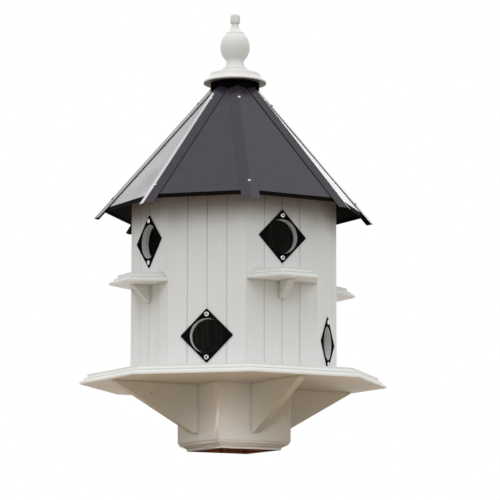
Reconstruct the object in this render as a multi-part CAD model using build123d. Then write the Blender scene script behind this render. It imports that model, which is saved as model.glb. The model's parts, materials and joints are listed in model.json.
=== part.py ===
from build123d import *
from math import atan, cos, degrees, radians, sin, tan
import os

# An eight-sided purple martin house on a post sleeve.
# Sizes are in millimetres. The house stands on its collar at z = 0, centred on the Z axis.
# Sides are numbered from the front, which faces -Y, turning towards +X.
# Each piece of a side is drawn facing +X and then turned to its place.

# Plan
sides = 8
side_turn = 360 / sides
half_turn = radians(side_turn / 2)
first_side = -90

# Clearances
mitre_gap = 0.1
board_gap = 0.2

# Board stock
wall_thick = 12.7
floor_thick = 12.7
partition_thick = 9.5
ledge_thick = 16.0
bracket_thick = 12.7

# Pedestal, a square sleeve for the post, and the collar at its foot
pedestal_width = 139.7
pedestal_height = 94.2
pedestal_board = 19.05
pedestal_round = 5.0
collar_thick = 12.7
collar_step = 3.0

# Tray
tray_width = 472.0

# House body
house_width = 317.5
room_height = 150.0
groove_width = 2.6
groove_depth = 1.5
groove_places = (-0.25, 0.0, 0.25)

# Entrances and their plates
entrance_width = 56.0
entrance_above_floor = 50.8
plate_side = 62.0
plate_round = 2.0
plate_thick = 1.6

# Perches
perch_below_entrance = 56.0

# Brackets: how far out, how far down, and the flat cuts at the two tips
tray_bracket_reach = 152.4
tray_bracket_drop = 80.8
tray_bracket_foot = 8.8
tray_bracket_toe = 3.0
perch_bracket_reach = 32.0
perch_bracket_drop = 29.0
perch_bracket_foot = 3.0
perch_bracket_toe = 2.0

# Moulded edge of the tray and the perches: its inset, and heights from the wide face
ledge_inset = 12.1
ledge_quirk = 6.3
ledge_foot = 1.6
ledge_ovolo_top = 6.8
ledge_cove_foot = 9.2
ledge_cove_top = 13.4

# Moulded edge of the collar
collar_inset = 9.7
collar_quirk = 5.0
collar_foot = 2.0
collar_ovolo_top = 5.6
collar_cove_foot = 7.2
collar_cove_top = 10.6

# Roof
roof_pitch = radians(51.5)
deck_overhang = 11.8
eave_width = 401.0
eave_lip = 6.6
sheet = 1.0
seam_gap = 0.3

# Ridge caps
cap_flange = 15.0
cap_sheet = 1.2
cap_rise = 1.0
cap_bend = 0.6
cap_end_round = 1.5
cap_past_eave = 14.5

# Peak block: the core under the sheets' top ends, with the round dark neck above them
peak_block_drop = 38.0
peak_neck_width = 82.0
peak_neck_rise = 18.3

# Finial, turned in one piece: radii, and heights above the flat underside of its flange
spigot_width = 25.0
spigot_length = 38.0
flange_radius = 53.2
flange_edge = 3.4
flange_quirk = 1.0
cove_radius = 42.5
cove_top = 15.8
collar_radius = 22.8
collar_low = 20.4
collar_high = 25.2
waist_radius = 14.5
waist_height = 37.8
ball_foot_radius = 15.3
ball_foot_height = 40.3
ball_radius = 25.0
ball_height = 63.0
shoulder_radius = 16.2
shoulder_height = 84.6
bead_radius = 15.3
bead_top = 87.2
neck_radius = 6.0
neck_height = 101.0
cap_foot_radius = 7.7
cap_foot = 103.8
cap_radius = 8.5
cap_chamfer = 1.8
finial_height = 119.6

# Heights worked out from the sizes above
tray_low = collar_thick + pedestal_height
tray_top = tray_low + ledge_thick
upper_floor_low = tray_top + room_height
upper_floor_top = upper_floor_low + floor_thick
wall_top = upper_floor_top + room_height
wall_outer = house_width / 2
wall_inner = wall_outer - wall_thick
wall_width = house_width * tan(half_turn)
perch_top = upper_floor_top + entrance_above_floor - perch_below_entrance
perch_low = perch_top - ledge_thick

# Roof planes: height of the sheets' outer face at the axis, and the slope along a ridge
slope = tan(roof_pitch)
ridge_slope = slope * cos(half_turn)
ridge_pitch = atan(ridge_slope)
deck_low_half = wall_outer + deck_overhang
inner_apex = wall_top + deck_low_half * slope + board_gap
outer_apex = inner_apex + sheet / cos(roof_pitch)
eave_half = eave_width / 2
eave_corner = eave_half / cos(half_turn)
peak_neck_low = inner_apex - slope * peak_neck_width / 2
finial_foot = peak_neck_low + peak_neck_rise

reach = tray_width
tall = outer_apex


def side_angle(number):
    """Turn of side 1, 2, 3 ... about Z, in degrees."""
    return first_side + side_turn * (number - 1)


def is_upper(number):
    """Every other side has its entrance in the upper storey."""
    return number % 2 == 1


def entrance_height(number):
    floor = upper_floor_top if is_upper(number) else tray_top
    return floor + entrance_above_floor


def prism(points, low, high):
    """Upright prism on an outline in the XY plane."""
    outline = make_face(Polyline(*points, close=True))
    return Pos(0, 0, low) * extrude(outline, high - low)


def slab(points, thickness):
    """Slab on an outline of (x, z) points, centred on the XZ plane."""
    outline = make_face(Polyline(*[(x, 0, z) for x, z in points], close=True))
    return extrude(outline, thickness / 2, both=True)


def sector(half_angle, gap):
    """Everything within half_angle of +X, set back by gap from each of the two mitre planes."""
    back = gap / sin(half_angle)
    half = (reach - back) * tan(half_angle)
    return prism([(back, 0), (reach, -half), (reach, half)], -1, tall)


def octagon_board(width, thickness):
    """Eight-sided board with a side across +X, resting on z = 0."""
    outline = RegularPolygon(width / 2, sides, major_radius=False, rotation=side_turn / 2)
    return extrude(outline, thickness)


def frustum(low_half, height):
    """Eight-sided block whose sides lean inwards at the roof's pitch."""
    outline = RegularPolygon(low_half, sides, major_radius=False, rotation=side_turn / 2)
    return extrude(outline, height, taper=90 - degrees(roof_pitch))


def rod(width, start, length):
    """Round rod along +X from x = start."""
    return Pos(start + length / 2, 0, 0) * Rot(0, 90, 0) * Cylinder(width / 2, length)


def moulding_waste(length, thick, inset, quirk, foot, ovolo_top, cove_foot, cove_top):
    """What a moulding cutter takes off an edge that faces +X at x = 0, wide face at z = 0.

    From the wide face up: a flat foot, a convex quarter round, an upright quirk,
    a concave quarter round and an upright fillet.
    """
    diagonal = sin(radians(45))
    ovolo_mid = (quirk * (diagonal - 1), 0, foot + (ovolo_top - foot) * diagonal)
    cove_run = inset - quirk
    cove_mid = (-quirk - cove_run * diagonal, 0, cove_top - (cove_top - cove_foot) * diagonal)
    outline = [
        ThreePointArc((0, 0, foot), ovolo_mid, (-quirk, 0, ovolo_top)),
        Line((-quirk, 0, ovolo_top), (-quirk, 0, cove_foot)),
        ThreePointArc((-quirk, 0, cove_foot), cove_mid, (-inset, 0, cove_top)),
        Polyline((-inset, 0, cove_top), (-inset, 0, 2 * thick), (thick, 0, 2 * thick),
                 (thick, 0, foot), (0, 0, foot)),
    ]
    return extrude(make_face(outline), length / 2, both=True)


def ledge_waste(length):
    return moulding_waste(length, ledge_thick, ledge_inset, ledge_quirk, ledge_foot,
                          ledge_ovolo_top, ledge_cove_foot, ledge_cove_top)


def bracket(back, top, out, drop, foot, toe):
    """Triangular bracket against a wall at x = back and under a board at z = top."""
    points = [(back, top), (back + out, top), (back + out, top - toe),
              (back + foot, top - drop), (back, top - drop)]
    return slab(points, bracket_thick)


def make_collar():
    """Square moulded board with the post's square hole, wide face up against the pedestal."""
    width = pedestal_width - 2 * collar_step
    socket = pedestal_width - 2 * pedestal_board
    board = extrude(Rectangle(width, width) - Rectangle(socket, socket), collar_thick)
    waste = moulding_waste(2 * width, collar_thick, collar_inset, collar_quirk, collar_foot,
                           collar_ovolo_top, collar_cove_foot, collar_cove_top)
    for turn in range(0, 360, 90):
        board -= Rot(0, 0, turn) * Pos(width / 2, 0, 0) * waste
    return Pos(0, 0, collar_thick) * Rot(180, 0, 0) * board


def make_pedestal_board():
    """One of four boards, mitred at 45 degrees, with the sleeve's corners rounded over."""
    socket = pedestal_width - 2 * pedestal_board
    ring = RectangleRounded(pedestal_width, pedestal_width, pedestal_round)
    sleeve = Pos(0, 0, collar_thick) * extrude(ring - Rectangle(socket, socket), pedestal_height)
    return sleeve & sector(radians(45), mitre_gap / 2)


def make_tray():
    board = octagon_board(tray_width, ledge_thick)
    for number in range(sides):
        board -= Rot(0, 0, side_turn * number) * Pos(tray_width / 2, 0, 0) * ledge_waste(tray_width)
    return Pos(0, 0, tray_low) * board


def make_tray_bracket():
    return bracket(pedestal_width / 2, tray_low, tray_bracket_reach, tray_bracket_drop,
                   tray_bracket_foot, tray_bracket_toe)


def make_wall_panel(entrance):
    """Grooved panel, mitred to its neighbours, with the round entrance through it."""
    tall_side = wall_top - tray_top
    board = Pos(wall_outer - wall_thick / 2, 0, tray_top + tall_side / 2) * Box(
        wall_thick, wall_width, tall_side)
    board &= sector(half_turn, mitre_gap / 2)
    for place in groove_places:
        groove = prism([(wall_outer - groove_depth, 0), (wall_outer + groove_depth, -groove_width),
                        (wall_outer + groove_depth, groove_width)], tray_top - 1, wall_top + 1)
        board -= Pos(0, place * wall_width, 0) * groove
    return board - Pos(0, 0, entrance) * rod(entrance_width, wall_inner - 1, wall_thick + 2)


def make_entrance_plate(entrance):
    """Thin square plate standing on a corner, with the entrance through it."""
    outline = Rot(0, 0, 45) * RectangleRounded(plate_side, plate_side, plate_round)
    outline -= Circle(entrance_width / 2)
    face = Plane((wall_outer, 0, entrance), x_dir=(0, 1, 0), z_dir=(1, 0, 0)) * outline
    return extrude(face, plate_thick)


def make_perch():
    """Half of a regular hexagon as wide as its wall, with three moulded edges."""
    half = wall_width / 2
    depth = half * sin(radians(60))
    points = [(wall_outer, -half), (wall_outer + depth, -half / 2),
              (wall_outer + depth, half / 2), (wall_outer, half)]
    board = prism(points, 0, ledge_thick)
    for turn in (-60, 0, 60):
        board -= Pos(wall_outer, 0, 0) * Rot(0, 0, turn) * Pos(depth, 0, 0) * ledge_waste(4 * half)
    return Pos(0, 0, perch_low) * board


def make_perch_bracket():
    return bracket(wall_outer, perch_low, perch_bracket_reach, perch_bracket_drop,
                   perch_bracket_foot, perch_bracket_toe)


def make_partition(low, slot_from_top):
    """Upright board along X across the house, with a half-height slot for the one that crosses it."""
    length = 2 * (wall_inner - board_gap)
    middle = low + room_height / 2
    board = Pos(0, 0, middle) * Box(length, partition_thick, room_height)
    slot = Box(partition_thick + 2 * board_gap, partition_thick, room_height)
    shift = room_height / 2 if slot_from_top else -room_height / 2
    return board - Pos(0, 0, middle + shift) * slot


def make_upper_floor():
    return Pos(0, 0, upper_floor_low) * octagon_board(2 * (wall_inner - board_gap), floor_thick)


def make_top_plate():
    """Ceiling of the upper rooms: its bevelled edge is the roof sheets' seat."""
    return Pos(0, 0, wall_top) * frustum(deck_low_half, floor_thick)


def ridge_height(radius):
    """Height of the line where two roof sheets' outer faces meet."""
    return outer_apex - radius * ridge_slope


def around_neck():
    """Room for the peak block's neck, which the sheets and ridge caps are trimmed round."""
    return Pos(0, 0, peak_neck_low) * Cylinder(peak_neck_width / 2 + seam_gap, 4 * peak_neck_width)


def make_roof_panel():
    """Folded sheet over one side, mitred at the hips, with a short lip turned down at the eave."""
    across = sheet / cos(roof_pitch)
    eave = outer_apex - eave_half * slope
    lip_back = eave_half - sheet
    points = [(eave_half, eave), (0, outer_apex), (0, outer_apex - across),
              (lip_back, eave + sheet * slope - across), (lip_back, eave - eave_lip),
              (eave_half, eave - eave_lip)]
    panel = slab(points, eave_width) & sector(half_turn, seam_gap)
    return panel - around_neck()


def make_ridge_cap():
    """Bent strip over the hip above +X, its end cut level past the eave.

    Its two edges rest on the sheets and its crest stands proud of the seam.
    """
    normal_side = sin(roof_pitch) * sin(half_turn)
    normal_up = sin(roof_pitch) * cos(half_turn) * sin(ridge_pitch) + cos(roof_pitch) * cos(ridge_pitch)
    fall = normal_side / normal_up
    edge = cap_flange * cos(atan(fall))
    lean = atan(fall + cap_rise / edge)
    thick_side = cap_sheet * sin(lean)
    thick_up = cap_sheet * cos(lean)
    crest = cap_rise + cap_sheet / cos(lean)
    tip = eave_corner + cap_past_eave
    tip_height = ridge_height(tip)
    start = tip + cap_flange
    along = Plane((start, 0, ridge_height(start)), x_dir=(0, -1, 0),
                  z_dir=(-cos(ridge_pitch), 0, sin(ridge_pitch)))
    section = make_face(Polyline(
        (0, crest), (edge + thick_side, thick_up - edge * fall), (edge, -edge * fall), (0, cap_rise),
        (-edge, -edge * fall), (-edge - thick_side, thick_up - edge * fall), close=True))
    section = fillet(section.vertices().sort_by(Axis.Y)[-1], cap_bend + cap_sheet)
    section = fillet(section.vertices().sort_by(SortBy.DISTANCE)[0], cap_bend)
    cap = extrude(along * section, start / cos(ridge_pitch))
    cap &= Pos(0, 0, tip_height + tall / 2) * Box(4 * start, 4 * cap_flange, tall)
    corners = [e for e in cap.edges().filter_by(GeomType.LINE)
               if e.length < 2 * cap_sheet and e.center().Z < tip_height + cap_sheet
               and abs(e.center().Y) > edge / 2]
    cap = fillet(corners, cap_end_round)
    return cap & sector(half_turn, seam_gap) - around_neck()


def make_peak_block():
    """Solid core under the sheets, with the round neck that the finial's flange stands on.

    It is bored for the finial's spigot.
    """
    neck_half = peak_neck_width / 2
    low = peak_neck_low - peak_block_drop
    low_half = neck_half + (peak_block_drop - board_gap) / slope
    block = Pos(0, 0, low) * frustum(low_half, peak_block_drop)
    core = peak_neck_rise + peak_block_drop
    block += Pos(0, 0, finial_foot - core / 2) * Cylinder(neck_half, core)
    bore = spigot_length + board_gap
    return block - Pos(0, 0, finial_foot - bore / 2) * Cylinder(spigot_width / 2 + board_gap, bore)


def make_finial():
    """Turned ornament: spigot, moulded flange, collar, waist, ball, bead, neck and cap."""
    def arc(*points):
        return ThreePointArc(*[(radius, 0, height) for radius, height in points])

    def hollow(*points):
        return Spline(*[(radius, 0, height) for radius, height in points])

    def steps(*points):
        return Polyline(*[(radius, 0, height) for radius, height in points])

    rim = (flange_radius - flange_quirk, flange_edge)
    cove_end = (cove_radius, cove_top)
    collar_foot = (collar_radius, collar_low)
    collar_end = (collar_radius - 1.2, collar_high)
    waist = (waist_radius, waist_height)
    ball_foot = (ball_foot_radius, ball_foot_height)
    ball = (ball_radius, ball_height)
    shoulder = (shoulder_radius, shoulder_height)
    bead = (bead_radius, bead_top)
    neck = (neck_radius, neck_height)
    cap_side = (cap_foot_radius, cap_foot)
    cap_swell = (cap_radius, (cap_foot + finial_height) / 2)
    cap_rim = (cap_foot_radius, finial_height - cap_chamfer)
    cap_top = (cap_foot_radius - cap_chamfer, finial_height)
    outline = [
        steps((0, finial_height), (0, -spigot_length), (spigot_width / 2, -spigot_length),
              (spigot_width / 2, 0), (flange_radius, 0), (flange_radius, flange_edge), rim),
        hollow(rim, (cove_radius + 3.9, cove_top * 0.57), cove_end),
        arc(cove_end, (cove_radius - 7.0, cove_top + 3.0), collar_foot),
        steps(collar_foot, collar_end),
        steps(collar_end, (waist_radius + 2.6, waist_height - 5.2), waist, ball_foot),
        arc(ball_foot, (ball_radius - 3.3, ball_foot_height + 8.0), ball),
        arc(ball, (ball_radius - 2.2, ball_height + 12.9), shoulder),
        steps(shoulder, bead),
        hollow(bead, (neck_radius + 3.7, neck_height - 8.4), neck),
        steps(neck, (neck_radius, cap_foot), cap_side, cap_swell, cap_rim, cap_top, (0, finial_height)),
    ]
    return Pos(0, 0, finial_foot) * revolve(make_face(outline), Axis.Z)


def build():
    """Every sub-part in its place, by node name."""
    nodes = {
        "collar": make_collar(),
        "tray": make_tray(),
        "upper_floor": make_upper_floor(),
        "top_plate": make_top_plate(),
        "peak_block": make_peak_block(),
        "finial": make_finial(),
    }
    for corner in range(4):
        turn = Rot(0, 0, first_side + 90 * corner)
        nodes[f"pedestal_board_{corner + 1}"] = turn * make_pedestal_board()
        nodes[f"tray_bracket_{corner + 1}"] = turn * make_tray_bracket()
    for letter, turn, slot_from_top in (("a", 0, True), ("b", 90, False)):
        nodes[f"lower_partition_{letter}"] = Rot(0, 0, turn) * make_partition(tray_top, slot_from_top)
        nodes[f"upper_partition_{letter}"] = Rot(0, 0, turn + side_turn) * make_partition(
            upper_floor_top, slot_from_top)
    for number in range(1, sides + 1):
        turn = Rot(0, 0, side_angle(number))
        entrance = entrance_height(number)
        nodes[f"wall_panel_{number}"] = turn * make_wall_panel(entrance)
        nodes[f"entrance_plate_{number}"] = turn * make_entrance_plate(entrance)
        nodes[f"roof_panel_{number}"] = turn * make_roof_panel()
        nodes[f"ridge_cap_{number}"] = turn * Rot(0, 0, side_turn / 2) * make_ridge_cap()
    for perch, number in enumerate(filter(is_upper, range(1, sides + 1)), start=1):
        turn = Rot(0, 0, side_angle(number))
        nodes[f"perch_{perch}"] = turn * make_perch()
        nodes[f"perch_bracket_{perch}"] = turn * make_perch_bracket()
    return nodes


os.makedirs("parts", exist_ok=True)
for name, shape in build().items():
    export_step(shape, f"parts/{name}.step")
    box = shape.bounding_box()
    print(name, "valid" if shape.is_valid else "INVALID", round(box.size.X, 1), round(box.size.Y, 1),
          round(box.size.Z, 1), "z", round(box.min.Z, 1), round(box.max.Z, 1))
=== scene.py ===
# %% [markdown]
# # A martin house, dressed for the camera
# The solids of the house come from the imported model. This lesson gives them their paint,
# sheet metal and bare wood, adds the small things that a maker would see from a step away,
# and sets up the light and the camera. All lengths are in metres unless a comment says
# millimetres.

# %% Load the solids
import json
from math import cos, hypot, pi, radians, sin, tan

import bpy
import numpy as np
from mathutils import Matrix, Vector


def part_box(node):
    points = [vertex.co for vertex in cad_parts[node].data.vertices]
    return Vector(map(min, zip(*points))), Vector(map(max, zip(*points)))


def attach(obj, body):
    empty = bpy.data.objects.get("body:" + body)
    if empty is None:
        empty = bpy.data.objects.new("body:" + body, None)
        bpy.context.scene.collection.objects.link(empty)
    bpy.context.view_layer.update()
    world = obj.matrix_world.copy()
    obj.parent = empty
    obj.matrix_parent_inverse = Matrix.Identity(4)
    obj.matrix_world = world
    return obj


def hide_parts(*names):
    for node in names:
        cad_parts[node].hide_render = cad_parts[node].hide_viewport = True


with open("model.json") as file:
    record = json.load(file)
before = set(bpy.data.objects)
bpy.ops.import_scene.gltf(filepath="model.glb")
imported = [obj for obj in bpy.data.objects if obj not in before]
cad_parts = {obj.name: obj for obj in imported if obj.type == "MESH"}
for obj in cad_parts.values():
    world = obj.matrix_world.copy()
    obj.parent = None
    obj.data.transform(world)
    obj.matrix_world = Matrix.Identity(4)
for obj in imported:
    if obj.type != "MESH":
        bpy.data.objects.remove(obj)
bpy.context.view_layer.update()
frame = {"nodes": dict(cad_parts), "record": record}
nodes = frame["nodes"]

# %% [markdown]
# ## The camera
# The photograph looks up at the house from a little below its foot and from about thirty
# degrees round to the left, through a long lens. The position is written as an angle round
# the house, an angle below the horizon and a distance, and the view as three unit vectors.

# %% Place the camera
AIM = np.array([0.0, 0.0, 0.3798])
ROUND, LIFT, DISTANCE = radians(-29.03), radians(-9.03), 4.193
YAW, PITCH, ROLL = radians(-29.39), radians(-8.42), radians(0.13)
FOCAL_PIXELS, FRAME_PIXELS = 2512.0, 500.0


def away(turn, lift):
    """Unit vector from the house towards a viewer: turn is round the house, lift above level."""
    return np.array([sin(turn) * cos(lift), -cos(turn) * cos(lift), sin(lift)])


eye = AIM + DISTANCE * away(ROUND, LIFT)
forward = -away(YAW, PITCH)
right = np.array([cos(YAW), sin(YAW), 0.0])
up = np.cross(right, forward)
right, up = right * cos(ROLL) + up * sin(ROLL), up * cos(ROLL) - right * sin(ROLL)
lens = bpy.data.cameras.new("photo_lens")
lens.sensor_fit = "HORIZONTAL"
lens.sensor_width = 36.0
lens.lens = lens.sensor_width * FOCAL_PIXELS / FRAME_PIXELS
lens.clip_start, lens.clip_end = 0.1, 50.0
camera = bpy.data.objects.new("photo_camera", lens)
turned = np.eye(4)
turned[:3, 0], turned[:3, 1], turned[:3, 2], turned[:3, 3] = right, up, -forward, eye
camera.matrix_world = Matrix(turned.tolist())
bpy.context.scene.collection.objects.link(camera)
bpy.context.scene.camera = camera
print("camera at", [round(v, 3) for v in eye], "lens", round(lens.lens, 1), "mm")

# %% [markdown]
# ## Helpers for materials
# Every finish is a small tree of nodes. Built by hand each node takes several lines, so these
# helpers keep the trees short. The first adds a node and fills its inputs, and the others are
# the few steps that every finish here is made of: noise, a ramp, a blend and a sum.


# %% Add a node and link it
def add(tree, kind, settings=None, **inputs):
    """Adds a node, sets its properties, then sets or links its inputs.

    An input is given by its label, with _ for a space, or by its number, as in i0 and i1."""
    node = tree.nodes.new(kind)
    for key, value in (settings or {}).items():
        setattr(node, key, value)
    for key, value in inputs.items():
        name = int(key[1:]) if key[0] == "i" and key[1:].isdigit() else key.replace("_", " ")
        socket = node.inputs[name]
        if isinstance(value, bpy.types.NodeSocket):
            tree.links.new(value, socket)
        else:
            socket.default_value = value
    return node


def feed(tree, node, **sockets):
    """Links each socket to the node's input of that label, with _ for a space."""
    for key, socket in sockets.items():
        tree.links.new(socket, node.inputs[key.replace("_", " ")])


print("node helpers ready")


# %% The steps that finishes are made of
def place_of(tree):
    """The point's place on the house, in metres."""
    return add(tree, "ShaderNodeTexCoord").outputs["Object"]


def height_of(tree, vector):
    """The upright part of a place or a normal."""
    return add(tree, "ShaderNodeSeparateXYZ", i0=vector).outputs[2]


def rise_of(tree):
    """How far the face looks up: 1 is straight up, 0 level and -1 straight down."""
    return height_of(tree, add(tree, "ShaderNodeTexCoord").outputs["Normal"])


def noise(tree, where, scale, detail, **more):
    """Soft noise of about nought to one over the places, finer with a larger scale."""
    return add(tree, "ShaderNodeTexNoise", Vector=where, Scale=scale, Detail=detail,
               **more).outputs[0]


def ramp(tree, value, low, high, start=0.0, end=1.0):
    """Goes from start to end while the value goes from low to high, and is level beyond."""
    return add(tree, "ShaderNodeMapRange", i0=value, i1=low, i2=high, i3=start,
               i4=end).outputs[0]


def sums(tree, operation, *values):
    """One sum of two or three numbers."""
    inputs = {f"i{k}": value for k, value in enumerate(values)}
    return add(tree, "ShaderNodeMath", {"operation": operation}, **inputs).outputs[0]


def blend(tree, share, first, second, way="MIX"):
    """From the first colour to the second as the share goes from nought to one."""
    return add(tree, "ShaderNodeMix", {"data_type": "RGBA", "blend_type": way}, i0=share,
               i6=first, i7=second).outputs[2]


def between(tree, share, first, second):
    """From the first number to the second as the share goes from nought to one."""
    return add(tree, "ShaderNodeMix", {"data_type": "FLOAT"}, i0=share, i2=first,
               i3=second).outputs[0]


print("steps ready")


# %% Empty finishes, groups and colours
def finish_named(name, roughness, specular, metallic=0.0):
    """An empty material with a Principled shader whose constant values are on its sockets."""
    material = bpy.data.materials.new(name)
    material.use_nodes = True
    tree = material.node_tree
    tree.nodes.clear()
    shader = add(tree, "ShaderNodeBsdfPrincipled", Roughness=roughness, Metallic=metallic)
    shader.inputs["Specular IOR Level"].default_value = specular
    output = add(tree, "ShaderNodeOutputMaterial")
    feed(tree, output, Surface=shader.outputs["BSDF"])
    return material, tree, shader


def group_named(name, inputs, outputs):
    """A shader node group: its inputs are (name, type, value) and its outputs (name, type)."""
    group = bpy.data.node_groups.new(name, "ShaderNodeTree")
    for label, kind, value in inputs:
        socket = group.interface.new_socket(name=label, in_out="INPUT", socket_type=kind)
        socket.default_value = value
    for label, kind in outputs:
        group.interface.new_socket(name=label, in_out="OUTPUT", socket_type=kind)
    return group, group.nodes.new("NodeGroupInput"), group.nodes.new("NodeGroupOutput")


def place(tree, group, **inputs):
    """Places a group in a material with this material's own values."""
    return add(tree, "ShaderNodeGroup", {"node_tree": group}, **inputs)


def linear(code):
    """A colour written as a web code, turned into the linear values that shaders use."""
    parts = [int(code[i:i + 2], 16) / 255 for i in (0, 2, 4)]
    values = [p / 12.92 if p <= 0.04045 else ((p + 0.055) / 1.055) ** 2.4 for p in parts]
    return (*values, 1.0)


FLOAT, COLOR = "NodeSocketFloat", "NodeSocketColor"
print("finish helpers ready")

# %% [markdown]
# ## Painted boards
# The boards are sprayed with a satin white paint over smooth wood. Close up it has a faint
# orange peel, the wood's grain swells through it in long soft ridges, and dust greys it in
# patches. One group works this out from Object coordinates: noise stretched along the board
# gives the grain, fine noise the orange peel, and large slow noise the dust.

# %% The paint group
GRAIN_SCALE, PEEL_SCALE, DUST_SCALE = 1000.0, 700.0, 9.0
PEEL_HEIGHT, DUSTY_ROUGHER = 0.35, 0.12

paint_group, g_in, g_out = group_named(
    "sprayed_paint",
    [("Colour", COLOR, (0.8, 0.8, 0.8, 1)), ("Dusty Colour", COLOR, (0.6, 0.58, 0.55, 1)),
     ("Dust", FLOAT, 0.3), ("Roughness", FLOAT, 0.45), ("Grain Along X", FLOAT, 0.15),
     ("Grain Along Y", FLOAT, 0.15), ("Grain Along Z", FLOAT, 0.02)],
    [("Colour", COLOR), ("Roughness", FLOAT), ("Height", FLOAT)])
where = place_of(paint_group)
stretch = add(paint_group, "ShaderNodeCombineXYZ", i0=g_in.outputs["Grain Along X"],
              i1=g_in.outputs["Grain Along Y"], i2=g_in.outputs["Grain Along Z"])
along = add(paint_group, "ShaderNodeVectorMath", {"operation": "MULTIPLY"}, i0=where,
            i1=stretch.outputs[0])
grain = noise(paint_group, along.outputs[0], GRAIN_SCALE, 4.0, Roughness=0.6)
peel = noise(paint_group, where, PEEL_SCALE, 2.0)
patch = ramp(paint_group, noise(paint_group, where, DUST_SCALE, 5.0, Roughness=0.65), 0.42, 0.72)
dusty_share = sums(paint_group, "MULTIPLY", patch, g_in.outputs["Dust"])
tone = blend(paint_group, dusty_share, g_in.outputs["Colour"], g_in.outputs["Dusty Colour"])
grain_shade = ramp(paint_group, grain, 0.3, 0.7, 0.98, 1.01)
feed(paint_group, g_out,
     Colour=blend(paint_group, 1.0, tone, grain_shade, "MULTIPLY"),
     Roughness=sums(paint_group, "MULTIPLY_ADD", patch, DUSTY_ROUGHER, g_in.outputs["Roughness"]),
     Height=sums(paint_group, "MULTIPLY_ADD", peel, PEEL_HEIGHT, grain))
print("paint group:", len(paint_group.nodes), "nodes")

# %% [markdown]
# ## Where dirt gathers and shade falls
# In the corner under a ledge or in a groove the paint is darker and warmer: partly dust and
# weather that stay there, partly painted shade. Painting that by hand would take a map for
# every board. Ambient Occlusion measures how closed in a point is, and the group turns that
# into a mask.

# %% The corner dirt and shade group
dirt_and_shade_group, g_in, g_out = group_named(
    "corner_dirt_and_shade", [("Reach", FLOAT, 0.012), ("Strength", FLOAT, 0.7)], [("Mask", FLOAT)])
openness = add(dirt_and_shade_group, "ShaderNodeAmbientOcclusion", {"samples": 8},
               Distance=g_in.outputs["Reach"]).outputs["AO"]
hollow = ramp(dirt_and_shade_group, openness, 0.9, 0.3)
feed(dirt_and_shade_group, g_out, Mask=sums(dirt_and_shade_group, "MULTIPLY", hollow, g_in.outputs["Strength"]))
print("corner group:", len(dirt_and_shade_group.nodes), "nodes")

# %% [markdown]
# ## The unpainted inside
# The paint stops at the outside and in the entrances. Inside the rooms and in the post's
# socket the boards are bare. A point is inside when its face looks back at the house's axis:
# the group takes the level part of its place, makes it one long, and compares it with the
# face's normal.

# %% The inside group
inside_group, g_in, g_out = group_named("inside_face", [("Edge", FLOAT, -0.35)], [("Mask", FLOAT)])
place_and_normal = add(inside_group, "ShaderNodeTexCoord")
flat = add(inside_group, "ShaderNodeVectorMath", {"operation": "MULTIPLY"},
           i0=place_and_normal.outputs["Object"], i1=(1.0, 1.0, 0.0))
outward = add(inside_group, "ShaderNodeVectorMath", {"operation": "NORMALIZE"},
              i0=flat.outputs[0])
facing = add(inside_group, "ShaderNodeVectorMath", {"operation": "DOT_PRODUCT"},
             i0=outward.outputs[0], i1=place_and_normal.outputs["Normal"])
back = sums(inside_group, "LESS_THAN", facing.outputs["Value"], g_in.outputs["Edge"])
feed(inside_group, g_out, Mask=back)
print("inside group:", len(inside_group.nodes), "nodes")

# %% [markdown]
# ## Bare wood
# Wood shows long streaks of darker late wood between pale early wood. Noise squeezed across
# the grain and stretched along it gives the streaks, and a little distortion makes them
# wander. The rooms' boards have gone grey, and the post's socket is fresh reddish wood.

# %% The wood group
STREAKS_PER_METRE = (120.0, 120.0, 9.0)
ROOM_WOOD = ("a9a8a4", "86847e")
SOCKET_WOOD = ("d98a58", "b05a34")

wood_group, g_in, g_out = group_named(
    "bare_board", [("Pale", COLOR, (0.4, 0.3, 0.2, 1)), ("Dark", COLOR, (0.2, 0.12, 0.07, 1))],
    [("Colour", COLOR), ("Height", FLOAT)])
squeeze = add(wood_group, "ShaderNodeMapping", Vector=place_of(wood_group),
              Scale=STREAKS_PER_METRE)
rings = noise(wood_group, squeeze.outputs[0], 2.0, 5.0, Distortion=0.6)
band = ramp(wood_group, rings, 0.35, 0.65)
feed(wood_group, g_out, Colour=blend(wood_group, band, g_in.outputs["Dark"], g_in.outputs["Pale"]),
     Height=rings)
print("wood group:", len(wood_group.nodes), "nodes")

# %% [markdown]
# ## The places where the white changes
# The paint is not the same all over. Towards the top of the walls it turns a warm brown, as
# painted shade under the eaves. It gives way to bare wood inside. Faces that look straight
# down take a colour of their own: painted shade under the tray and the finial, painted light
# under the perches. On one tray bracket a dark dot stands for an open nail hole, its darkness
# painted shade. Each change is a mask made from the point's place or from its normal, laid
# over the colour that was there before.

# %% Painted eave shade, bare inside, painted undersides and nail hole
# Painted shade: the walls turn warm brown towards the eaves, where the roof's overhang shades
# them.
EAVE_SHADE_LOW, EAVE_SHADE_HIGH, EAVE_SHADE_CURVE, EAVE_SHADE_MOST = 0.345, 0.402, 1.6, 0.75
INSIDE_EDGE = -0.35
# A nail hole is a dark dot in the colour, not a hole in the board: its darkness is painted shade.
NAIL_CORE, NAIL_RIM, NAIL_HOLE_SHADE = 0.0007, 0.0011, "17120e"


def painted_eave_shade(tree, colour, stain):
    """The colour with painted shade under the eaves, which grows towards the top of the walls by a
    power of height.
    """
    near = ramp(tree, height_of(tree, place_of(tree)), EAVE_SHADE_LOW, EAVE_SHADE_HIGH)
    share = sums(tree, "MULTIPLY", sums(tree, "POWER", near, EAVE_SHADE_CURVE), EAVE_SHADE_MOST)
    return blend(tree, share, colour, linear(stain))


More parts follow.
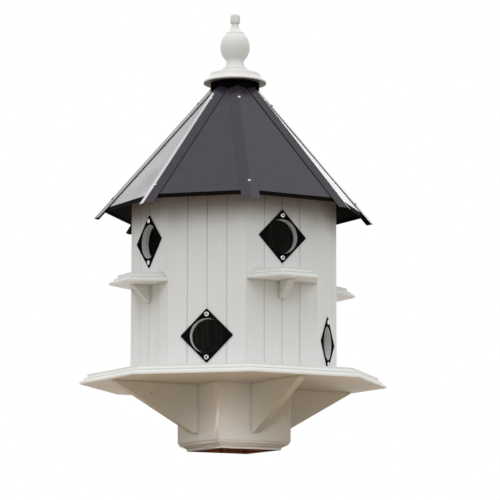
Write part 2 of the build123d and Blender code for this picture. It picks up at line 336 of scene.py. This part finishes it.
def bare_inside(tree, colour, wood):
    """The colour outside, and bare wood on the faces that look back at the house's axis."""
    bare = place(tree, wood_group, Pale=linear(wood[0]), Dark=linear(wood[1]))
    inside = place(tree, inside_group, Edge=INSIDE_EDGE)
    return blend(tree, inside.outputs["Mask"], colour, bare.outputs["Colour"])


def paint_underside_light_and_shade(tree, colour, underside_light_and_shade):
    """The colour, with another one on the faces that look straight down: painted light where it is
    lighter, painted shade where it is darker.
    """
    return blend(tree, ramp(tree, rise_of(tree), -0.9, -0.95), colour, linear(underside_light_and_shade))


def painted_nail_hole(tree, colour, spot):
    """The colour with a dark dot at the spot, by the distance from it: the painted shade of a nail
    hole.
    """
    reach = add(tree, "ShaderNodeVectorMath", {"operation": "DISTANCE"}, i0=place_of(tree),
                i1=spot)
    hole = ramp(tree, reach.outputs["Value"], NAIL_RIM, NAIL_CORE)
    return blend(tree, hole, colour, linear(NAIL_HOLE_SHADE))


print("stain from", EAVE_SHADE_LOW, "to", EAVE_SHADE_HIGH, "m")

# %% [markdown]
# ## The white paints
# All the boards had the same paint. Each group of boards has its own white, made lighter or
# darker for the light that falls on it: painted light and shade. One function lays the paint,
# the dirt and painted shade in the corners and the changes above in the same order for all
# of them.

# %% Mix the white paints
PAINT_ROUGHNESS, PAINT_SPECULAR, PAINT_DUST = 0.42, 0.12, 0.3
ALONG_GRAIN, ACROSS_GRAIN = 0.012, 0.16
CORNER_REACH, CORNER_DIRT_AND_SHADE = 0.008, "6b6259"


def white_paint(name, colour, dusty, grain_axis, dirt_and_shade=0.3, eave_shade_colour=None, inner=None, underside_light_and_shade=None,
                nail=None):
    """A painted board whose wood runs along grain_axis, with dirt and painted shade of the given
    strength in corners.

    The other arguments, in order, give the painted shade at the top of the walls, the two colours
    of its bare wood inside, the colour of its underside (painted light where it is lighter than
    the paint, painted shade where it is darker) and the place of a nail hole, whose dark dot is
    painted shade."""
    material, tree, shader = finish_named(name, PAINT_ROUGHNESS, PAINT_SPECULAR)
    stretches = {axis: ALONG_GRAIN if axis == grain_axis else ACROSS_GRAIN for axis in "XYZ"}
    paint = place(tree, paint_group, Colour=linear(colour), Dusty_Colour=linear(dusty),
                  Dust=PAINT_DUST, Roughness=PAINT_ROUGHNESS, Grain_Along_X=stretches["X"],
                  Grain_Along_Y=stretches["Y"], Grain_Along_Z=stretches["Z"])
    corner = place(tree, dirt_and_shade_group, Reach=CORNER_REACH, Strength=dirt_and_shade)
    # Corners and grooves turn a warm grey: dirt, and painted shade where shade falls.
    seen = blend(tree, corner.outputs["Mask"], paint.outputs["Colour"], linear(CORNER_DIRT_AND_SHADE))
    if eave_shade_colour:
        seen = painted_eave_shade(tree, seen, eave_shade_colour)
    if inner:
        seen = bare_inside(tree, seen, inner)
    if underside_light_and_shade:
        seen = paint_underside_light_and_shade(tree, seen, underside_light_and_shade)
    if nail:
        seen = painted_nail_hole(tree, seen, nail)
    bump = add(tree, "ShaderNodeBump", Strength=0.2, Distance=0.0005,
               Height=paint.outputs["Height"])
    feed(tree, shader, Base_Color=seen, Roughness=paint.outputs["Roughness"],
         Normal=bump.outputs["Normal"])
    return material


# Each white is the same paint made lighter or darker for the light its boards get: painted light
# and shade.
PAINTS = {
    # The wall's brown at the eaves is painted shade.
    "wall_paint": dict(colour="e7e9e8", dusty="dddfdc", grain_axis="Z", eave_shade_colour="7a5c44",
                       inner=ROOM_WOOD),
    # Under the tray and the finial the underside colour is painted shade, under the perches
    # painted light.
    "tray_paint": dict(colour="e9eae8", dusty="dddcd8", grain_axis="X", underside_light_and_shade="dcdcd7"),
    "perch_paint": dict(colour="dddfdc", dusty="d3d4d0", grain_axis="X", underside_light_and_shade="e8e8e4"),
    "bracket_paint": dict(colour="e2e2dc", dusty="d5d2c8", grain_axis="Z",
                          nail=(-0.1559, -0.00635, 0.088)),
    "pedestal_paint": dict(colour="e8e6e1", dusty="dad5cc", grain_axis="Z", inner=SOCKET_WOOD),
    "collar_paint": dict(colour="f2efe8", dusty="e4dfd6", grain_axis="X", dirt_and_shade=0.1,
                         inner=SOCKET_WOOD),
    "finial_paint": dict(colour="e8e8e5", dusty="dad8d2", grain_axis="Z", underside_light_and_shade="8a7f70"),
}
finishes = {name: white_paint(name, **values) for name, values in PAINTS.items()}
print("white paints:", sorted(finishes))

# %% [markdown]
# ## Dark sheet metal
# The roof is coated sheet, a warm dark grey with a satin skin that turns pale at grazing
# angles. The coating has a fine pebble, and the sheet is never quite flat, so slow noise
# bends its normals by a hair. On the lip that is turned down at the eave and underneath, the
# sheet is painted nearly black and dull: painted shade. The height of the normal tells them
# apart. The entrance plates and the neck under the finial are flat black all over.

# %% Roof sheet, plates and neck
MOTTLE_SCALE, WAVE_SCALE, PEBBLE_SCALE = 60.0, 11.0, 1100.0
MOTTLE_HEIGHT, PEBBLE_HEIGHT, SHEET_WOBBLE = 0.05, 0.10, 0.00012
TOP_FROM, TOP_FULL, DULL = 0.2, 0.4, 0.95


def dark_metal(name, colour, light, roughness, specular, painted_shade_below=None):
    """Coated sheet: mottled dark colour, uneven gloss and a slight waviness.

    With a shade colour, faces that do not look up have that colour and no shine, as painted
    shade: there the shader is a dark rough metal, which mirrors less than the skin does."""
    material, tree, shader = finish_named(name, roughness, specular)
    spot = place_of(tree)
    mottle = noise(tree, spot, MOTTLE_SCALE, 6.0, Roughness=0.7)
    wave = noise(tree, spot, WAVE_SCALE, 2.0)
    pebble = noise(tree, spot, PEBBLE_SCALE, 2.0)
    seen = blend(tree, ramp(tree, mottle, 0.35, 0.7), linear(colour), linear(light))
    gloss = ramp(tree, wave, 0.3, 0.7, roughness - 0.03, roughness + 0.05)
    if painted_shade_below:
        # Painted shade: faces that do not look up turn dark, dull and metallic, so that they
        # mirror almost nothing.
        top = ramp(tree, rise_of(tree), TOP_FROM, TOP_FULL)
        seen = blend(tree, top, linear(painted_shade_below), seen)
        gloss = between(tree, top, DULL, gloss)
        feed(tree, shader, Metallic=sums(tree, "SUBTRACT", 1.0, top))
    fine = sums(tree, "MULTIPLY_ADD", pebble, PEBBLE_HEIGHT, wave)
    height = sums(tree, "MULTIPLY_ADD", mottle, MOTTLE_HEIGHT, fine)
    bump = add(tree, "ShaderNodeBump", Strength=0.6, Distance=SHEET_WOBBLE, Height=height)
    feed(tree, shader, Base_Color=seen, Roughness=gloss, Normal=bump.outputs["Normal"])
    return material


SHEETS = {
    # On the roof and the ridge caps the last colour is painted shade on the lip and the underside.
    "roof_metal": dict(colour="38343c", light="3e3a42", roughness=0.28, specular=0.3,
                       painted_shade_below="1c1915"),
    "ridge_metal": dict(colour="261f2d", light="2c2533", roughness=0.25, specular=0.45,
                        painted_shade_below="0e0c0a"),
    "plate_metal": dict(colour="0d0f10", light="131617", roughness=0.7, specular=0.0),
    "dark_paint": dict(colour="0a0708", light="100c0b", roughness=0.8, specular=0.0),
}
finishes.update({name: dark_metal(name, **values) for name, values in SHEETS.items()})
print("dark finishes:", sorted(SHEETS))

# %% [markdown]
# ## Bright screws and bare boards
# The screws are plated steel: metallic, with a fine speckle and uneven gloss. The recess in
# their heads is painted nearly black, as painted shade. A place mask would have to know every
# screw, so their mesh carries how deep each point lies in the recess instead. The hidden
# boards are bare wood.

# %% Steel and bare boards
SPECK_SCALE, RECESS_SHADE_COLOUR = 900.0, "15120f"

steel, tree, shader = finish_named("screw_steel", 0.25, 0.5, metallic=1.0)
speck = noise(tree, place_of(tree), SPECK_SCALE, 3.0)
# Painted shade: the deeper a point lies in the recess, the nearer its colour is to black.
recess_shade = add(tree, "ShaderNodeAttribute", {"attribute_name": "recess_shade"}).outputs["Fac"]
feed(tree, shader, Roughness=ramp(tree, speck, 0.3, 0.7, 0.22, 0.38),
     Base_Color=blend(tree, recess_shade, ramp(tree, speck, 0.3, 0.7, 0.66, 0.82),
                      linear(RECESS_SHADE_COLOUR)))
finishes["screw_steel"] = steel

wood, tree, shader = finish_named("bare_wood", 0.75, 0.2)
bare = place(tree, wood_group, Pale=linear(ROOM_WOOD[0]), Dark=linear(ROOM_WOOD[1]))
bump = add(tree, "ShaderNodeBump", Strength=0.4, Distance=0.0005, Height=bare.outputs["Height"])
feed(tree, shader, Base_Color=bare.outputs["Colour"], Normal=bump.outputs["Normal"])
finishes["bare_wood"] = wood
print("finishes:", len(finishes))

# %% [markdown]
# ## Dressing the solids
# The record that came with the solids names a material slot for each of them, and the
# finishes above have the names of those slots, so a loop can dress the whole house.

# %% Put each finish on its solids
slots = {part["node"]: part["material_slot"] for part in frame["record"]["subparts"]}
for name, solid in nodes.items():
    material = finishes[slots[name]]
    if not solid.data.materials:
        solid.data.materials.append(material)
    for index in range(len(solid.material_slots)):
        solid.material_slots[index].material = material
print("dressed", len(nodes), "solids")

# %% [markdown]
# ## Softened edges
# A sharp solid edge catches no light. A Weld modifier joins the loose triangles and a Bevel
# rounds every edge that turns by more than thirty-five degrees, by the radius that paint or a
# folded sheet would have. A Weighted Normal modifier then keeps the wide faces flat in the
# light.

# %% Round the edges
WELD_WITHIN, SHARP_FROM = 0.00001, radians(35)
# A name that starts with another one comes before it.
softness = {"tray_bracket": 0.0008, "perch_bracket": 0.0007, "wall_panel": 0.0004,
            "tray": 0.0007, "perch": 0.0007, "pedestal_board": 0.0006, "collar": 0.0006,
            "entrance_plate": 0.0003, "roof_panel": 0.0003, "ridge_cap": 0.0003}
rounded = 0
for name, solid in nodes.items():
    widths = [width for stem, width in softness.items() if name.startswith(stem)]
    if not widths:
        continue
    weld = solid.modifiers.new("join", "WELD")
    weld.merge_threshold = WELD_WITHIN
    bevel = solid.modifiers.new("soft_edge", "BEVEL")
    bevel.width = widths[0]
    bevel.segments = 2
    bevel.limit_method = "ANGLE"
    bevel.angle_limit = SHARP_FROM
    flat_faces = solid.modifiers.new("flat_faces", "WEIGHTED_NORMAL")
    flat_faces.weight = 100
    flat_faces.keep_sharp = True
    rounded += 1
print("edges rounded on", rounded, "pieces")

# %% [markdown]
# ## Surfaces from arrays
# A turned or stamped piece is a grid of points: one direction runs round it and the other
# along its profile. These helpers take such a grid, close it round, put one point at each
# pole, and make the mesh with its faces pointing outwards.


# %% Mesh from rings of points
def rings_to_faces(rings, sides):
    """Vertex numbers of the quads between neighbouring rings, each ring closed on itself."""
    ring, side = np.meshgrid(np.arange(rings - 1), np.arange(sides), indexing="ij")
    after = (side + 1) % sides
    corners = [ring * sides + side, ring * sides + after, (ring + 1) * sides + after,
               (ring + 1) * sides + side]
    return np.stack(corners, axis=-1).reshape(-1, 4)


def closed_rings(points):
    """Closed skin over points[ring, side], first ring low and last ring high.

    Gives its vertices and a list of two arrays of faces: the quads, and the triangles that
    close both ends round a point in the middle of the end ring."""
    rings, sides = points.shape[:2]
    low, high = points[0].mean(axis=0), points[-1].mean(axis=0)
    vertices = np.concatenate([points.reshape(-1, 3), [low, high]])
    side = np.arange(sides)
    after = (side + 1) % sides
    last = (rings - 1) * sides
    foot = np.stack([after, side, np.full(sides, rings * sides)], axis=-1)
    crown = np.stack([last + side, last + after, np.full(sides, rings * sides + 1)], axis=-1)
    return vertices, [rings_to_faces(rings, sides), np.concatenate([foot, crown])]


def piece_named(name, vertices, face_arrays, finish, replaced=()):
    """A smooth piece that rides with the house and takes the finish of the given name."""
    faces = [face for faces_of_a_kind in face_arrays for face in faces_of_a_kind.tolist()]
    mesh = bpy.data.meshes.new(name)
    mesh.from_pydata(vertices.tolist(), [], faces)
    mesh.polygons.foreach_set("use_smooth", [True] * len(mesh.polygons))
    mesh.materials.append(finishes[finish])
    piece = bpy.data.objects.new(name, mesh)
    bpy.context.scene.collection.objects.link(piece)
    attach(piece, "root")
    if replaced:
        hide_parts(*replaced)
    print(name, len(mesh.vertices), "points", len(mesh.polygons), "faces")
    return piece


print("mesh helpers ready")

# %% [markdown]
# ## The finial
# The finial is one piece of wood turned on a lathe, so its shape is a profile of radius
# against height. The profile is drawn as the turner cuts it: fillets, coves and a ball. Then
# it is sampled closely and a short running mean along it eases every corner by about half a
# millimetre, as sanding and paint do. The spigot that holds it in the peak block stays sharp.

# %% Curves of the finial, in millimetres
BALL, BALL_MIDDLE, BALL_HALF = 25.0, 63.0, 28.5
KEPT_POINTS = 4


def bow(start, end, bulge, count=24):
    """From start to end: the straight line plus a sine bow of that height, square to the line."""
    share = np.linspace(0, 1, count)[:, None]
    start, end = np.array(start, float), np.array(end, float)
    run = end - start
    square = np.array([run[1], -run[0]]) / hypot(*run)
    return start + share * run + bulge * np.sin(pi * share) * square


def ball(low, high, count=48):
    """Part of an upright ellipse, from the height low to the height high."""
    turn = np.linspace(np.arcsin((low - BALL_MIDDLE) / BALL_HALF),
                       np.arcsin((high - BALL_MIDDLE) / BALL_HALF), count)
    return np.stack([BALL * np.cos(turn), BALL_MIDDLE + BALL_HALF * np.sin(turn)], axis=-1)


def eased(line, step=0.12, width=1.0):
    """The line sampled at every step and smoothed by a running mean of that width."""
    far = np.concatenate([[0], np.cumsum(np.hypot(*np.diff(line, axis=0).T))])
    places = np.arange(0, far[-1], step)
    fine = np.stack([np.interp(places, far, line[:, k]) for k in (0, 1)], axis=-1)
    reach = int(width / step / 2)
    first, last = np.repeat(fine[:1], reach, axis=0), np.repeat(fine[-1:], reach, axis=0)
    padded = np.concatenate([first, fine, last])
    weights = np.ones(2 * reach + 1) / (2 * reach + 1)
    smooth = np.stack([np.convolve(padded[:, k], weights, "valid") for k in (0, 1)], axis=-1)
    return smooth[::KEPT_POINTS]


print("ball", 2 * BALL, "by", 2 * BALL_HALF, "mm")

# %% Turn the finial
FINIAL_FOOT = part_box("peak_block")[1][2] * 1000
FINIAL_SIDES, POLE_RADIUS = 96, 0.0002
shown = np.concatenate([
    [(41.2, 0.0), (52.6, 0.0), (53.1, 0.6), (53.1, 2.8), (52.2, 3.4)],  # flange
    bow((51.4, 3.6), (42.9, 15.2), -1.4),  # bell
    bow((42.3, 15.9), (23.6, 20.3), 1.2),
    [(22.8, 20.5), (22.6, 24.6), (21.4, 25.3)],  # step
    bow((21.0, 25.5), (14.6, 37.4), -1.3),  # waist
    [(14.5, 38.0), (15.1, 38.6), (15.3, 40.0)],
    ball(40.4, 84.3),
    [(16.4, 84.8), (16.1, 86.9), (15.3, 87.3)],  # bead
    bow((15.0, 87.6), (6.1, 100.6), -2.1),  # neck
    [(6.0, 101.4), (6.0, 103.6), (7.5, 103.9), (7.9, 105.0)],
    bow((8.1, 105.4), (8.0, 116.6), 0.4),  # cap
    bow((7.8, 117.4), (3.6, 119.5), 0.8),
    [(2.0, 119.58), (0.4, 119.6)]])
spigot = np.array([(0.4, -38.0), (11.6, -38.0), (12.5, -37.0), (12.5, 0.0), (40.8, 0.0)])
profile = np.concatenate([spigot, eased(shown)]) / 1000
profile[:, 0] = np.maximum(profile[:, 0], POLE_RADIUS)
round_it = np.linspace(0, 2 * pi, FINIAL_SIDES, endpoint=False)
finial_points = np.stack([
    profile[:, :1] * np.cos(round_it), profile[:, :1] * np.sin(round_it),
    np.repeat(profile[:, 1:] + FINIAL_FOOT / 1000, FINIAL_SIDES, axis=1)], axis=-1)
finial = piece_named("turned_finial", *closed_rings(finial_points), "finial_paint", ["finial"])

# %% [markdown]
# ## Screws
# Each entrance plate is held by two pan-head screws with a cross recess, above and below the
# hole, and each ridge cap by two small ones on its crest. A head is a grid of rings: its
# height is a shallow dome that drops to the rim, less a cross-shaped pit whose arms taper
# towards their ends. One head is worked out once and then carried to every place as arrays.

# %% One screw head
ARM_TAPER, SIDE_SOFTNESS, END_SOFTNESS, PIT_DEPTH = 0.35, 0.12, 0.10, 0.6
DOME_DROP, RIM_DROP, SKIRT_Z = 0.45, 0.35, -0.00005


def screw_head(width, height, arm, slot, sides=40, rings=14):
    """Points of a head on z = 0, and how deep each of them lies in the recess.

    With s the share of the radius, the height is 1 - 0.45 s squared - 0.35 s to the eighth,
    times the head's own, less a cross of two slots that narrow towards their ends."""
    share = np.linspace(0.02, 1.0, rings)[::-1]
    turn = np.linspace(0, 2 * pi, sides, endpoint=False)
    radius = (width / 2) * share[:, None] * np.ones(sides)
    x, y = radius * np.cos(turn), radius * np.sin(turn)
    fall = DOME_DROP * share[:, None] ** 2 + RIM_DROP * share[:, None] ** 8
    z = height * (1 - fall) * np.ones(sides)

    def arm_mask(across, along):
        """One in a slot that runs along, nought outside, and a soft step at its sides."""
        narrow = slot * (1 - ARM_TAPER * np.abs(along) / arm)
        side = np.clip((narrow / 2 - np.abs(across)) / (SIDE_SOFTNESS * slot) + 0.5, 0, 1)
        end = np.clip((arm / 2 - np.abs(along)) / (END_SOFTNESS * arm) + 0.5, 0, 1)
        return side * end

    pit = np.maximum(arm_mask(x, y), arm_mask(y, x))
    dome = np.stack([x, y, z - pit * PIT_DEPTH * height], axis=-1)
    skirt = dome[:1].copy()
    skirt[..., 2] = SKIRT_Z
    under_head, in_recess = 0.0, 1.0
    depth = np.concatenate([np.zeros(sides), pit.ravel(), [under_head, in_recess]])
    return np.concatenate([skirt, dome]), depth


print("head of", screw_head(0.0080, 0.0021, 0.0048, 0.0015)[0].shape, "points")


# %% Carry the head to its places
def carried(head, spots):
    """The head's closed skin at every spot, where a spot is a point, a side, a rise and an out."""
    vertices, face_arrays = closed_rings(head)
    frames = np.array([spot[1:] for spot in spots])
    starts = np.array([spot[0] for spot in spots])[:, None]
    points = np.einsum("vk,skc->svc", vertices, frames) + starts
    count = len(vertices)
    copies = [faces + count * k for k in range(len(spots)) for faces in face_arrays]
    return points.reshape(-1, 3), copies


def screws_named(name, head, depth, spots):
    """One piece of all the heads, with the attribute that marks the painted shade in their
    recesses.
    """
    piece = piece_named(name, *carried(head, spots), "screw_steel")
    layer = piece.data.attributes.new("recess_shade", "FLOAT", "POINT")
    layer.data.foreach_set("value", np.tile(depth, len(spots)))
    return piece


print("screw helpers ready")

# %% [markdown]
# ### Two screws to each plate
# The plates sit flat on the eight sides, upper ones on the square sides and lower ones on the
# diagonal sides. Each head is turned by its own angle, as a screwdriver leaves it.

# %% Screws of the entrance plates
PLATE_FACE, SCREW_STEP = 0.16035, 0.0346
LOWER_ENTRANCE, UPPER_ENTRANCE = 0.1737, 0.3364
FIRST_TURN, NEXT_TURN = 0.5, 0.9
UPRIGHT = np.array([0.0, 0.0, 1.0])
plate_spots = []
for number in range(8):
    angle = radians(-90 + 45 * number)
    out = np.array([cos(angle), sin(angle), 0.0])
    level = np.array([-sin(angle), cos(angle), 0.0])
    turn = FIRST_TURN + NEXT_TURN * number
    turned = [level * cos(turn) + UPRIGHT * sin(turn), UPRIGHT * cos(turn) - level * sin(turn)]
    middle = UPPER_ENTRANCE if number % 2 == 0 else LOWER_ENTRANCE
    for step in (-SCREW_STEP, SCREW_STEP):
        plate_spots.append((out * PLATE_FACE + UPRIGHT * (middle + step), *turned, out))
plate_head, plate_depth = screw_head(width=0.0080, height=0.0021, arm=0.0048, slot=0.0015)
plate_screws = screws_named("plate_screws", plate_head, plate_depth, plate_spots)

# %% [markdown]
# ### Two screws to each ridge cap
# A ridge cap's crest follows the hip between two roof panels. The hip's slope comes from the
# roof's pitch across its flats, and the heads stand square to it, one near the eave and one
# near the peak.

# %% Screws of the ridge caps
ROOF_PITCH, OUTER_APEX = radians(51.5), 0.65182
RIDGE_SLOPE = tan(ROOF_PITCH) * cos(pi / 8)
RIDGE_PITCH = np.arctan(RIDGE_SLOPE)
CREST_LIFT = 0.0022
EAVE_SCREW, PEAK_SCREW = 0.2035, 0.0615
ridge_spots = []
for number in range(8):
    angle = radians(-90 + 45 * number + 22.5)
    level = np.array([cos(angle), sin(angle), 0.0])
    out = level * sin(RIDGE_PITCH) + UPRIGHT * cos(RIDGE_PITCH)
    side = np.array([-sin(angle), cos(angle), 0.0])
    for radius in (EAVE_SCREW, PEAK_SCREW):
        seam = level * radius + UPRIGHT * (OUTER_APEX - radius * RIDGE_SLOPE)
        ridge_spots.append((seam + out * CREST_LIFT, side, np.cross(out, side), out))
ridge_head, ridge_depth = screw_head(width=0.0046, height=0.0014, arm=0.0024, slot=0.0007,
                                     sides=24, rings=9)
ridge_screws = screws_named("ridge_screws", ridge_head, ridge_depth, ridge_spots)

# %% [markdown]
# ## Floor, room and light
# The floor is a plain pale sheet under the collar, open where the post's socket ends, so that
# some light gets up into it. The camera is lower than the floor, so the floor is see-through
# from behind. To the camera and to reflections it is white. The light that it throws up is a
# warm tan close to the house, which colours the underside of the tray and the brackets, and
# greyer further out. Light Path tells the two kinds of ray apart.


# %% Rays that see the background
def seen_rays(tree):
    """One for rays from the camera, off gloss and through glass, and nought for soft light."""
    rays = add(tree, "ShaderNodeLightPath")
    seen = sums(tree, "MAXIMUM", rays.outputs["Is Camera Ray"], rays.outputs["Is Glossy Ray"])
    return sums(tree, "MAXIMUM", seen, rays.outputs["Is Transmission Ray"])


print("background rays ready")

# %% The floor
FLOOR_HALF, HOLE_HALF, FLOOR_Z = 6.0, 0.0505, -0.0004
WARM_WITHIN, GREY_BEYOND = 0.3, 0.8
square = np.array([(-1, -1), (1, -1), (1, 1), (-1, 1)], float)
corners = np.concatenate([square * FLOOR_HALF, square * HOLE_HALF])
corners = np.concatenate([corners, np.full((8, 1), FLOOR_Z)], axis=1)
sides = [(k, (k + 1) % 4, 4 + (k + 1) % 4, 4 + k) for k in range(4)]
sheet = bpy.data.meshes.new("floor")
sheet.from_pydata(corners.tolist(), [], sides)
floor = bpy.data.objects.new("floor", sheet)
bpy.context.scene.collection.objects.link(floor)
print("floor", 2 * FLOOR_HALF, "m, with a hole of", 2 * HOLE_HALF, "m")

# %% The floor's colour
pale, tree, shader = finish_named("pale_floor", 0.9, 0.1)
spot = place_of(tree)
white = blend(tree, noise(tree, spot, 3.0, 3.0), linear("efeeec"), linear("f4f3f2"))
distance = add(tree, "ShaderNodeVectorMath", {"operation": "LENGTH"}, i0=spot).outputs["Value"]
far = ramp(tree, distance, WARM_WITHIN, GREY_BEYOND)
bounce = blend(tree, far, linear("c4ad92"), linear("8a8985"))
feed(tree, shader, Base_Color=blend(tree, seen_rays(tree), bounce, white))
clear = add(tree, "ShaderNodeBsdfTransparent")
behind = add(tree, "ShaderNodeNewGeometry").outputs["Backfacing"]
either = add(tree, "ShaderNodeMixShader", i0=behind, i1=shader.outputs[0], i2=clear.outputs[0])
output = [node for node in tree.nodes if node.type == "OUTPUT_MATERIAL"][0]
feed(tree, output, Surface=either.outputs[0])
sheet.materials.append(pale)
print("floor is warm within", WARM_WITHIN, "m")

# %% [markdown]
# The room is white all round to the camera and in reflections. As a light it comes mostly from
# overhead and fades to the horizon, like a large soft box over the set. That puts the soft
# shadow under the eaves, the perches and the tray.

# %% The room
HORIZON_LIGHT, OVERHEAD_LIGHT = 0.12, 1.5
world = bpy.data.worlds.new("white_room")
bpy.context.scene.world = world
world.use_nodes = True
tree = world.node_tree
tree.nodes.clear()
height = height_of(tree, add(tree, "ShaderNodeTexCoord").outputs["Generated"])
level = ramp(tree, height, 0.0, 1.0, HORIZON_LIGHT, OVERHEAD_LIGHT)
glow = add(tree, "ShaderNodeBackground", Color=(1, 1, 1, 1),
           Strength=between(tree, seen_rays(tree), level, 1.0))
output = add(tree, "ShaderNodeOutputWorld")
feed(tree, output, Surface=glow.outputs[0])
print("room ready")

# %% [markdown]
# ### Soft boxes
# Two large lamps model the walls: the key stands far round to the left and the fill to the
# right. A very small one with a narrow beam lifts the pedestal and the collar. The last two
# stand behind the house and are there to be mirrored: the left and right roof panels are seen
# at a grazing angle, and their skin shows these lamps as a pale sheen.


# %% Light the house
def soft_box(name, turn, lift, distance, size, power, aim_height=AIM[2], spread=180):
    """A square lamp, hidden from the camera, that faces a point on the house's axis.

    turn, lift and spread are in degrees, distance and size in metres and power in watts."""
    lamp = bpy.data.lights.new(name, "AREA")
    lamp.shape = "SQUARE"
    lamp.size = size
    lamp.energy = power
    lamp.spread = radians(spread)
    holder = bpy.data.objects.new(name, lamp)
    holder.visible_camera = False
    middle = Vector((0.0, 0.0, float(aim_height)))
    spot = middle + Vector((distance * away(radians(turn), radians(lift))).tolist())
    facing = (middle - spot).to_track_quat("-Z", "Y").to_matrix().to_4x4()
    holder.matrix_world = Matrix.Translation(spot) @ facing
    bpy.context.scene.collection.objects.link(holder)
    return holder


soft_box("key", turn=-77, lift=26, distance=3.0, size=1.6, power=18.5)
soft_box("fill", turn=18, lift=22, distance=3.2, size=1.8, power=16.6)
soft_box("foot_light", turn=-36, lift=3, distance=0.9, size=0.12, power=0.017, aim_height=0.0,
         spread=10)
soft_box("left_sheen", turn=174, lift=28, distance=3.0, size=1.3, power=8.0)
soft_box("right_sheen", turn=140, lift=17, distance=3.0, size=1.0, power=7.2)
print("lamps:", len(bpy.data.lights))

# %% [markdown]
# ## Tone
# The Standard view shows colours about as they are written.

# %% Set the picture's tone
scene = bpy.context.scene
scene.view_settings.view_transform = "Standard"
